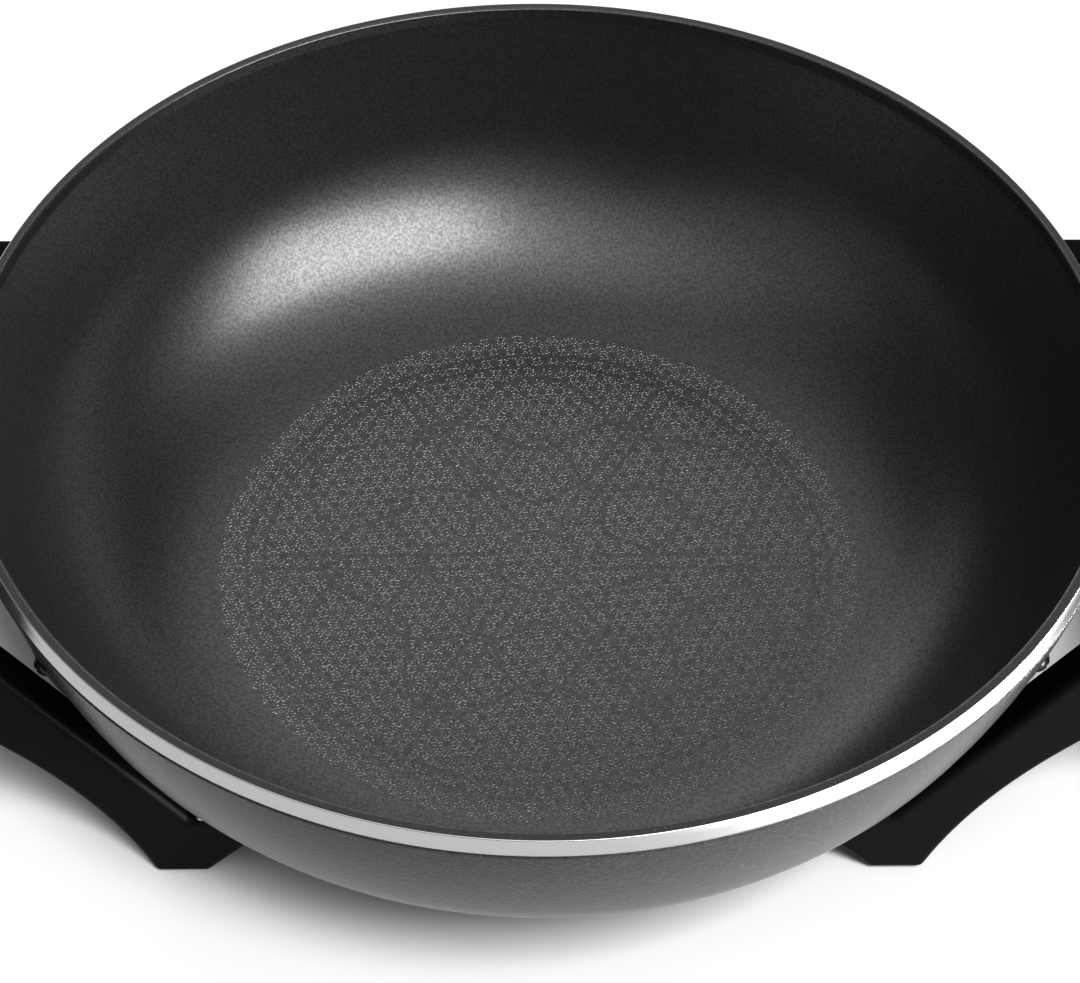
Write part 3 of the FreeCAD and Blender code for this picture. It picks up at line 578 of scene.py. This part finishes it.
bowl = {
    "rimHeight": 132.0,
    "rimFace": 165.1,
    "rimInner": 162.1,
    "rimEdge": 0.7,  # rounding into the mouth
    "rimRound": 0.3,  # rounding onto the band
    "rimProud": 0.02,
    "rimLand": (0.3, 0.2),  # bare strips beside the two roundings
    "bandLow": (166.3, 127.4),
    "bandRows": (0.0, 0.08, 0.5, 0.85),
    "bandFoot": (0.05, 0.2),  # in from the band's face, and up from the paint
    "paintStep": 0.4,
    "paintRound": 0.15,
    "paintEdge": ((0.27, -1.0), (0.3, -0.3), (1.0, 0.1)),  # in and up, against paintRound
    "lip": ((0.0, 1.0), (0.0, 0.2), (0.05, -0.2)),  # in and up, where the mouth meets the wall
    "mouthLand": 0.3,
    "wall": 4.6,
    "wallRows": (1.2, 12, 24),  # down from the lip
    "lean": 15.0,
    "turnIn": 21.0,  # lean where the outer wall's slow curve meets the knuckle
    "slowRows": (0.2, 0.4, 0.6, 0.8, 0.97),
    "knuckle": 72.0,
    "knuckleCentre": (88.1, 112.0),
    "floorRows": (0, 30, 60),
    "arcSteps": 20,
    "segments": 360,
    "seam": 0.005,
}
bowlFinishes = ["paint", "band", "rim", "inside"]


def bowlProfile(sizes):  # (radius, height, finish) from under the floor round the rim to the floor
    lean = radians(sizes["lean"])
    centreR, centreZ = sizes["knuckleCentre"]
    outer, inner = sizes["knuckle"], sizes["knuckle"] - sizes["wall"]

    def knuckle(radius, share):
        angle = -pi / 2 + (pi / 2 - lean) * share
        return centreR + radius * cos(angle), centreZ + radius * sin(angle)

    steps = [i / sizes["arcSteps"] for i in range(sizes["arcSteps"] + 1)]
    line = [(radius, centreZ - outer, "paint") for radius in sizes["floorRows"]]
    low = radians(sizes["turnIn"])
    met = (pi / 2 - low) / (pi / 2 - lean)
    line += [knuckle(outer, share * met) + ("paint",) for share in steps]

    topR, topZ = knuckle(outer, 1)
    stepZ = sizes["bandLow"][1] - sizes["paintStep"]
    stepR = topR + tan(lean) * (stepZ - topZ)
    small = sizes["paintRound"]
    metR, metZ = knuckle(outer, met)
    high = 2 * atan2(stepR - metR, stepZ - metZ) - low
    slow = (stepZ - metZ) / (sin(low) - sin(high))
    for share in sizes["slowRows"]:
        angle = low + (high - low) * share
        line.append((metR + slow * (cos(angle) - cos(low)), metZ + slow * (sin(low) - sin(angle)), "paint"))
    line += [(stepR - small * inward, stepZ + small * up, "paint") for inward, up in sizes["paintEdge"]]

    bandR, bandZ = sizes["bandLow"]
    inward, up = sizes["bandFoot"]
    line.append((bandR - inward, stepZ + up, "band"))
    topR, topZ = sizes["rimFace"], sizes["rimHeight"]
    for share in sizes["bandRows"]:
        line.append((bandR + (topR - bandR) * share, bandZ + (topZ - bandZ) * share, "band"))
    edge = sizes["rimRound"]
    for angle in (0, 30, 60):
        turn = radians(angle)
        out = topR - edge + edge * cos(turn) + sizes["rimProud"]
        line.append((out, topZ - edge + edge * sin(turn), "band"))
    soft, mouthR = sizes["rimEdge"], sizes["rimInner"]
    outerLand, innerLand = sizes["rimLand"]
    line += [(topR - edge, topZ, "rim"), (topR - edge - outerLand, topZ, "rim")]
    line.append((mouthR + soft + innerLand, topZ, "inside"))
    for angle in range(0, 91, 15):
        turn = radians(angle)
        line.append((mouthR + soft * (1 - sin(turn)), topZ - soft * (1 - cos(turn)), "inside"))
    line.append((mouthR, topZ - soft - sizes["mouthLand"], "inside"))

    topR, topZ = knuckle(inner, 1)
    lipZ = topZ + (mouthR - topR) / tan(lean)
    line += [(mouthR - inward, lipZ + up, "inside") for inward, up in sizes["lip"]]
    line += [(mouthR - tan(lean) * drop, lipZ - drop, "inside") for drop in sizes["wallRows"]]
    line += [knuckle(inner, share) + ("inside",) for share in reversed(steps)]
    line += [(radius, centreZ - inner, "inside") for radius in reversed(sizes["floorRows"])]
    return line


def latheTree():  # turns a profile in the XZ plane into a round shape, with a finish for each of its rows
    inputs = [("Segments", "Int"), ("Seam", "Float")]
    inputs += [("Finish " + name, "Material") for name in bowlFinishes]
    tree, graph, start = newShape("lathe", inputs)
    profile = start.pick("Geometry")
    rows = graph.add("GeometryNodeAttributeDomainSize", {"component": "MESH"},
                     {"Geometry": profile}, "Point Count")
    columns = start.pick("Segments") + 1
    sheet = graph.add("GeometryNodeMeshGrid", {}, {"Vertices X": columns, "Vertices Y": rows}, "Mesh")
    index = graph.add("GeometryNodeInputIndex")
    row = index % rows
    turn = graph.maths("FLOOR", index / rows) / start.pick("Segments") * (2 * pi)
    place = graph.add("GeometryNodeInputPosition")
    point = graph.add("GeometryNodeSampleIndex", {"data_type": "FLOAT_VECTOR", "domain": "POINT"},
                      {"Geometry": profile, "Value": place, "Index": row})
    radius = graph.add("ShaderNodeSeparateXYZ", {}, {"Vector": point}, "X")
    across, along = radius * graph.maths("COSINE", turn), radius * graph.maths("SINE", turn)
    spun = graph.vector(across, along, radius.pick("Z"))
    sheet = graph.add("GeometryNodeSetPosition", {}, {"Geometry": sheet, "Position": spun})
    kind = graph.add("GeometryNodeInputNamedAttribute", {"data_type": "INT"}, {"Name": "finish"})
    faceRow = index % (rows - 1)
    ofRow = graph.add("GeometryNodeSampleIndex", {"data_type": "INT", "domain": "POINT"},
                      {"Geometry": profile, "Value": kind, "Index": faceRow})
    sheet = graph.add("GeometryNodeStoreNamedAttribute", {"data_type": "INT", "domain": "FACE"},
                      {"Geometry": sheet, "Name": "finish", "Value": ofRow})
    sheet = graph.add("GeometryNodeMergeByDistance", {}, {"Geometry": sheet, "Distance": start.pick("Seam")})
    sheet = graph.add("GeometryNodeSetShadeSmooth", {}, {"Geometry": sheet, "Shade Smooth": True})
    sheet = graph.add("GeometryNodeRealizeInstances", {}, {"Geometry": sheet})
    for number, name in enumerate(bowlFinishes):
        chosen = abs(kind - number) < 0.5
        sheet = graph.add("GeometryNodeSetMaterial", {},
                          {"Geometry": sheet, "Selection": chosen, "Material": start.pick("Finish " + name)})
    graph.add("NodeGroupOutput", {}, {"Geometry": sheet})
    return tree


def makeBowl(sizes):
    line = bowlProfile(sizes)
    profile = bpy.data.meshes.new("bowlProfile")
    links = [(i, i + 1) for i in range(len(line) - 1)]
    profile.from_pydata([(radius * mm, 0, height * mm) for radius, height, _ in line], links, [])
    kinds = profile.attributes.new("finish", "INT", "POINT")
    kinds.data.foreach_set("value", [bowlFinishes.index(kind) for _, _, kind in line])
    values = {"Segments": sizes["segments"], "Seam": sizes["seam"] * mm}
    for name in bowlFinishes:
        values["Finish " + name] = bareFinishes.get(name, finishes["bowl_coating"])
    shell = grow("bowlShell", latheTree(), values, profile)
    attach(shell, "base")
    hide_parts("bowl")


makeBowl(bowl)
print("bowl turned")


def wallUnder(radius):  # height of the bowl's underside at a radius inside the knuckle
    centreR, centreZ = bowl["knuckleCentre"]
    over = max(radius - centreR, 0)
    return centreZ - sqrt(bowl["knuckle"] ** 2 - over ** 2)


def stackRings(mesh, middle, rings, sides=40):  # closed round shape from (radius, height) rings, low to high
    rows = []
    for radius, height in rings:
        row = []
        for i in range(sides):
            angle = 2 * pi * i / sides
            x, y = middle[0] + radius * cos(angle), middle[1] + radius * sin(angle)
            z = height(x, y) if callable(height) else height
            row.append(mesh.verts.new((x * mm, y * mm, z * mm)))
        rows.append(row)
    for low, high in zip(rows, rows[1:]):
        for i in range(sides):
            j = (i + 1) % sides
            mesh.faces.new((low[i], low[j], high[j], high[i]))
    for row, turn in ((rows[0], -1), (rows[-1], 1)):
        mesh.faces.new(row[::turn])


def sweepOutline(mesh, outline, places):  # closed shape from (across, up) pairs set at (point, across) places
    rows = []
    for point, across in places:
        rows.append([mesh.verts.new((point + across * out + Vector((0, 0, up))) * mm) for out, up in outline])
    count = len(outline)
    for near, far in zip(rows, rows[1:]):
        for i in range(count):
            j = (i + 1) % count
            mesh.faces.new((near[i], near[j], far[j], far[i]))
    mesh.faces.new(rows[0][::-1])
    mesh.faces.new(rows[-1])


def finishMesh(mesh, name, finish, body, crease=35, weld=0.0005):  # makes a piece on a body
    bmesh.ops.remove_doubles(mesh, verts=mesh.verts, dist=weld * mm)
    bmesh.ops.recalc_face_normals(mesh, faces=mesh.faces)
    for face in mesh.faces:
        face.smooth = True
    for edge in mesh.edges:
        edge.smooth = len(edge.link_faces) == 2 and edge.calc_face_angle(0) < radians(crease)
    data = bpy.data.meshes.new(name)
    mesh.to_mesh(data)
    mesh.free()
    data.materials.append(finish)
    piece = bpy.data.objects.new(name, data)
    scene.collection.objects.link(piece)
    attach(piece, body)


casting = {
    "bossPlaces": [(x, y) for x in (-84.0, 84.0) for y in (-80.0, 80.0)],
    "boss": 6.5,
    "bossLow": 28.7,
    "postRing": 36.0,
    "postAngles": (60.0, 180.0, 300.0),
    "post": 4.5,
    "postLow": 27.1,
    "ribRing": 66.0,
    "ribHalf": 6.5,
    "ribLow": 30.0,
    "ribOpening": 22.0,
    "ribSteps": 96,
    "saddleRun": (20.0, 75.0),
    "saddleHalf": 4.5,
    "saddleLow": 32.0,
    "flare": 2.2,  # radius of the fillet into the bowl
    "edge": 0.7,
    "corner": 0.21,
    "bury": 1.6,  # how far each form runs into the wall
}


def makeCasting(sizes):
    mesh = bmesh.new()
    flare, edge, corner, bury = sizes["flare"], sizes["edge"], sizes["corner"], sizes["bury"]

    def surface(lift):
        return lambda x, y: wallUnder(hypot(x, y)) + lift

    def column(middle, radius, low):
        rings = [(radius - edge, low), (radius - corner, low + corner), (radius, low + edge)]
        for angle in range(0, 91, 18):
            turn = radians(angle)
            rings.append((radius + flare * (1 - cos(turn)), surface(flare * (sin(turn) - 1))))
        rings.append((radius + flare, surface(bury)))
        stackRings(mesh, middle, rings)

    for middle in sizes["bossPlaces"]:
        column(middle, sizes["boss"], sizes["bossLow"])
    for angle in sizes["postAngles"]:
        turn, ring = radians(angle), sizes["postRing"]
        column((ring * cos(turn), ring * sin(turn)), sizes["post"], sizes["postLow"])

    top = wallUnder(0) + bury
    half, low = sizes["ribHalf"], sizes["ribLow"]
    outline = [(-half + edge, low), (half - edge, low), (half, low + edge), (half, top - flare)]
    outline += [(half + flare, top), (-half - flare, top), (-half, top - flare), (-half, low + edge)]
    ring = sizes["ribRing"]
    begin = asin(sizes["ribOpening"] / ring)
    places = []
    for i in range(sizes["ribSteps"] + 1):
        angle = begin + (2 * pi - 2 * begin) * i / sizes["ribSteps"]
        way = Vector((cos(angle), sin(angle), 0))
        places.append((way * ring, way))
    sweepOutline(mesh, outline, places)

    half, low = sizes["saddleHalf"], sizes["saddleLow"]
    outline = [(-half, low), (half, low), (half, top), (-half, top)]
    sweepOutline(mesh, outline, [(Vector((x, 0, 0)), Vector((0, -1, 0))) for x in sizes["saddleRun"]])
    finishMesh(mesh, "castForms", bareFinishes["paint"], "base")


makeCasting(casting)
print("cast forms added")


pips = {
    "reach": 98.5,
    "halfway": 68.0,  # where the inner piece ends and the outer begins
    "pitch": 5.6,  # between rosettes
    "turn": 5.0,
    "clusters": [(0, 0, 10, 1.92), (1, 1, 3, 0.64), (0, 2, 3, 0.64)],  # shift, pips and radius of each
    "long": 0.62,
    "wide": 0.19,
    "high": 0.24,
    "sunk": 0.05,
    "crown": 0.5,  # top against foot
    "sides": 6,
    "uneven": 0.2,
    "jitter": 0.10,
    "across": 0.32,  # how much of a pip's own direction across the bowl is kept
    "slant": 0.35,
    "lineHalf": 0.65,
    "rings": [12.5, 85.0, 90.0],
    "spokes": 6,
    "spokeGap": 2.7,
    "spokeRun": (17.0, 84.0),
    "petals": 6,
    "waves": [(30, 6), (43, -9), (57, 10), (71, -9)],  # mean radius and swing of each petal line
    "seed": 11,
}


def pipTree(sizes):
    lengths = ("From", "To", "Pitch", "Turn", "Line", "Long", "Wide", "High", "Sunk", "Jitter")
    inputs = [(label, "Float") for label in lengths]
    inputs += [("Sides", "Int"), ("Seed", "Int"), ("Finish", "Material")]
    tree, graph, start = newShape("pips", inputs)
    pitch, seed = start.pick("Pitch"), start.pick("Seed")
    rowShare = sqrt(3) / 2
    rowPitch = pitch * rowShare
    count = 2 * ceil(sizes["reach"] / sizes["pitch"] / rowShare) + 3
    sheet = graph.add("GeometryNodeMeshGrid", {}, {
        "Size X": pitch * (count - 1), "Size Y": rowPitch * (count - 1),
        "Vertices X": count, "Vertices Y": count}, "Mesh")
    place = graph.add("GeometryNodeInputPosition")
    alongX = graph.add("ShaderNodeSeparateXYZ", {}, {"Vector": place}, "X")
    alongY = alongX.pick("Y")
    offset = graph.maths("ROUND", alongY / rowPitch) % 2 * pitch / 2
    onPoints = {"data_type": "FLOAT_VECTOR", "domain": "POINT"}
    number = {"data_type": "FLOAT"}

    clusters = []
    for shiftX, shiftY, amount, radius in sizes["clusters"]:
        spot = graph.vector(alongX + offset + pitch * (shiftX / 2), alongY + rowPitch * (shiftY / 3))
        spot = graph.add("ShaderNodeVectorRotate", {"rotation_type": "Z_AXIS"},
                         {"Vector": spot, "Angle": start.pick("Turn")})
        hearts = graph.add("GeometryNodeSetPosition", {}, {"Geometry": sheet, "Position": spot})
        hearts = graph.add("GeometryNodeMeshToPoints", {}, {"Mesh": hearts})
        hearts = graph.add("GeometryNodeStoreNamedAttribute", onPoints,
                           {"Geometry": hearts, "Name": "heart", "Value": place})
        ring = graph.add("GeometryNodeMeshCircle", {}, {"Vertices": amount, "Radius": radius * mm})
        spin = graph.add("FunctionNodeRandomValue", number, {"Max": 2 * pi, "Seed": seed + amount}, "Value")
        ring = graph.add("GeometryNodeInstanceOnPoints", {},
                         {"Points": hearts, "Instance": ring, "Rotation": graph.vector(z=spin)})
        ring = graph.add("GeometryNodeRealizeInstances", {}, {"Geometry": ring})
        clusters.append(graph.add("GeometryNodeMeshToPoints", {}, {"Mesh": ring}))
    spots = graph.add("GeometryNodeJoinGeometry")
    for cluster in clusters:
        tree.links.new(cluster.socket, spots.socket.node.inputs[0])

    far = start.pick("Jitter")
    near = graph.add("ShaderNodeVectorMath", {"operation": "SCALE"}, {0: (-1, -1, 0), "Scale": far})
    away = graph.add("ShaderNodeVectorMath", {"operation": "SCALE"}, {0: (1, 1, 0), "Scale": far})
    nudge = graph.add("FunctionNodeRandomValue", {"data_type": "FLOAT_VECTOR"},
                      {"Min": near, "Max": away, "Seed": seed})
    spots = graph.add("GeometryNodeSetPosition", {}, {"Geometry": spots, "Offset": nudge})

    radius = graph.maths("SQRT", alongX * alongX + alongY * alongY)
    angle = graph.maths("ARCTAN2", alongY, alongX)
    gap = abs(radius - sizes["rings"][0] * mm)  # distance to the nearest smooth line
    for ring in sizes["rings"][1:]:
        gap = graph.maths("MINIMUM", gap, abs(radius - ring * mm))
    sector = 2 * pi / sizes["spokes"]
    fromSpoke = abs(radius * graph.maths("SINE", (angle + sector / 2) % sector - sector / 2))
    low, high = sizes["spokeRun"]
    spokes = abs(fromSpoke - sizes["spokeGap"] * mm) + (radius < low * mm) + (radius > high * mm)
    gap = graph.maths("MINIMUM", gap, spokes)
    swing = graph.maths("COSINE", angle * sizes["petals"])
    slope = graph.maths("SINE", angle * sizes["petals"]) * sizes["petals"] / radius
    for middle, reach in sizes["waves"]:
        steep = slope * (reach * mm)
        wave = abs(radius - middle * mm - swing * (reach * mm)) / graph.maths("SQRT", steep * steep + 1)
        gap = graph.maths("MINIMUM", gap, wave)
    gone = (radius < start.pick("From")) + (radius > start.pick("To")) + (gap < start.pick("Line"))
    spots = graph.add("GeometryNodeDeleteGeometry", {"domain": "POINT"},
                      {"Geometry": spots, "Selection": gone})

    centreR, centreZ = bowl["knuckleCentre"]  # each pip stands square to the bowl's floor or knuckle
    inner = (bowl["knuckle"] - bowl["wall"]) * mm
    over = graph.maths("MAXIMUM", radius - centreR * mm, 0.0)
    drop = graph.maths("SQRT", inner * inner - over * over)
    settled = graph.vector(alongX, alongY, centreZ * mm - drop - start.pick("Sunk"))
    upright = graph.vector(0 - over * alongX / radius, 0 - over * alongY / radius, drop)
    heart = graph.add("GeometryNodeInputNamedAttribute", {"data_type": "FLOAT_VECTOR"}, {"Name": "heart"})
    outward = graph.add("ShaderNodeVectorMath", {"operation": "SUBTRACT"}, {0: place, 1: heart})
    along = graph.add("ShaderNodeSeparateXYZ", {}, {"Vector": outward}, "X")
    outward = graph.vector(along, along.pick("Y") * sizes["across"] + along * sizes["slant"])
    turn = graph.add("FunctionNodeAxesToRotation", {"primary_axis": "Z", "secondary_axis": "X"},
                     {0: upright, 1: outward})
    spots = graph.add("GeometryNodeStoreNamedAttribute", {"data_type": "QUATERNION", "domain": "POINT"},
                      {"Geometry": spots, "Name": "lie", "Value": turn})
    spots = graph.add("GeometryNodeSetPosition", {}, {"Geometry": spots, "Position": settled})
    lie = graph.add("GeometryNodeInputNamedAttribute", {"data_type": "QUATERNION"}, {"Name": "lie"})

    cone = {"Vertices": start.pick("Sides"), "Radius Top": sizes["crown"], "Radius Bottom": 1.0, "Depth": 1.0}
    dome = graph.add("GeometryNodeMeshCone", {}, cone, "Mesh")
    under = dome.pick("Bottom")
    dome = graph.add("GeometryNodeSetShadeSmooth", {}, {"Geometry": dome, "Shade Smooth": True})
    dome = graph.add("GeometryNodeSetShadeSmooth", {},
                     {"Geometry": dome, "Selection": under, "Shade Smooth": False})
    span = {"Min": 1 - sizes["uneven"], "Max": 1 + sizes["uneven"], "Seed": seed}
    bigness = graph.add("FunctionNodeRandomValue", number, span, "Value")
    size = graph.vector(start.pick("Long") * bigness, start.pick("Wide") * bigness, start.pick("High"))
    field = graph.add("GeometryNodeInstanceOnPoints", {},
                      {"Points": spots, "Instance": dome, "Rotation": lie, "Scale": size})
    field = graph.add("GeometryNodeRealizeInstances", {}, {"Geometry": field})
    field = graph.add("GeometryNodeSetMaterial", {}, {"Geometry": field, "Material": start.pick("Finish")})
    graph.add("NodeGroupOutput", {}, {"Geometry": field})
    return tree


def makePips(sizes):
    tree = pipTree(sizes)
    halfway = sizes["halfway"]
    for name, low, high in (("pipsInner", 0, halfway), ("pipsOuter", halfway, sizes["reach"])):
        values = {"From": low * mm, "To": high * mm, "Turn": radians(sizes["turn"]), "Sides": sizes["sides"],
                  "Seed": sizes["seed"], "Line": sizes["lineHalf"] * mm, "Finish": bareFinishes["pip"]}
        for label in ("pitch", "long", "wide", "high", "sunk", "jitter"):
            values[label.capitalize()] = sizes[label] * mm
        piece = grow(name, tree, values)
        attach(piece, "base")


makePips(pips)
print("pips set")


dialMarks = {
    "axis": (0.0, 24.0),  # y and z
    "face": 157.0,
    "ring": 5.7,
    "height": 2.5,
    "thick": 0.12,
    "curveSteps": 3,
    "places": [  # degrees from the top, clockwise as seen
        ("1", 40), ("2", 75), ("3", 110), ("4", 145), ("5", 215), ("6", 250), ("7", 285), ("8", 320)],
    "markUp": 12.6,  # above the dial's axis
    "markFace": 150.0,
    "markSize": 1.3,
    "markShape": ((0.0, -1.0), (0.62, 0.45), (-0.62, 0.45)),  # across and up, against markSize
    "markDepths": (-0.2, 0.12),
    "inkFade": 0.5,
    "inkTones": (0.55, 0.72),
    "inkRough": (0.45, 0.1),  # least, and what the fading adds
}


def paleInk(look):
    material, graph, place = newFinish("paleInk")
    fade = graph.noise(place, look["inkFade"], detail=2.0)
    worn, fresh = look["inkTones"]
    rough, uneven = look["inkRough"]
    graph.surface({
        "Base Color": graph.blend(fade, grey(worn), grey(fresh)),
        "Roughness": rough + fade * uneven,
    })
    return material


def makeDialMarks(sizes):
    ink = paleInk(sizes)
    centreY, centreZ = sizes["axis"]
    mesh = bmesh.new()
    for text, angle in sizes["places"]:
        curve = bpy.data.curves.new("number" + text, "FONT")
        curve.body = text
        curve.size = sizes["height"] * mm
        curve.align_x, curve.align_y = "CENTER", "CENTER"
        curve.extrude = sizes["thick"] / 2 * mm
        curve.resolution_u = sizes["curveSteps"]
        holder = bpy.data.objects.new("number" + text, curve)
        scene.collection.objects.link(holder)
        flat = bpy.data.meshes.new_from_object(holder.evaluated_get(bpy.context.evaluated_depsgraph_get()))
        bpy.data.objects.remove(holder)
        turn, ring = radians(angle), sizes["ring"]
        # the face looks along +X with +Z up, so its right-hand side is +Y
        spot = Vector((sizes["face"], centreY + ring * sin(turn), centreZ + ring * cos(turn))) * mm
        basis = Matrix(((0, 0, 1), (1, 0, 0), (0, 1, 0))).to_4x4()
        flat.transform(Matrix.Translation(spot) @ Matrix.Rotation(-turn, 4, "X") @ basis)
        mesh.from_mesh(flat)
    finishMesh(mesh, "dialNumbers", ink, "dial")

    mesh = bmesh.new()
    size, centreZ = sizes["markSize"], centreZ + sizes["markUp"]
    ends = []
    for depth in sizes["markDepths"]:
        x = sizes["markFace"] + depth
        corners = [(x, centreY + across * size, centreZ + up * size) for across, up in sizes["markShape"]]
        ends.append([mesh.verts.new(Vector(corner) * mm) for corner in corners])
    count = len(sizes["markShape"])
    for i in range(count):
        j = (i + 1) % count
        mesh.faces.new((ends[0][i], ends[0][j], ends[1][j], ends[1][i]))
    mesh.faces.new(ends[0][::-1])
    mesh.faces.new(ends[1])
    finishMesh(mesh, "caseMark", ink, "control")


makeDialMarks(dialMarks)
print("dial numbered")
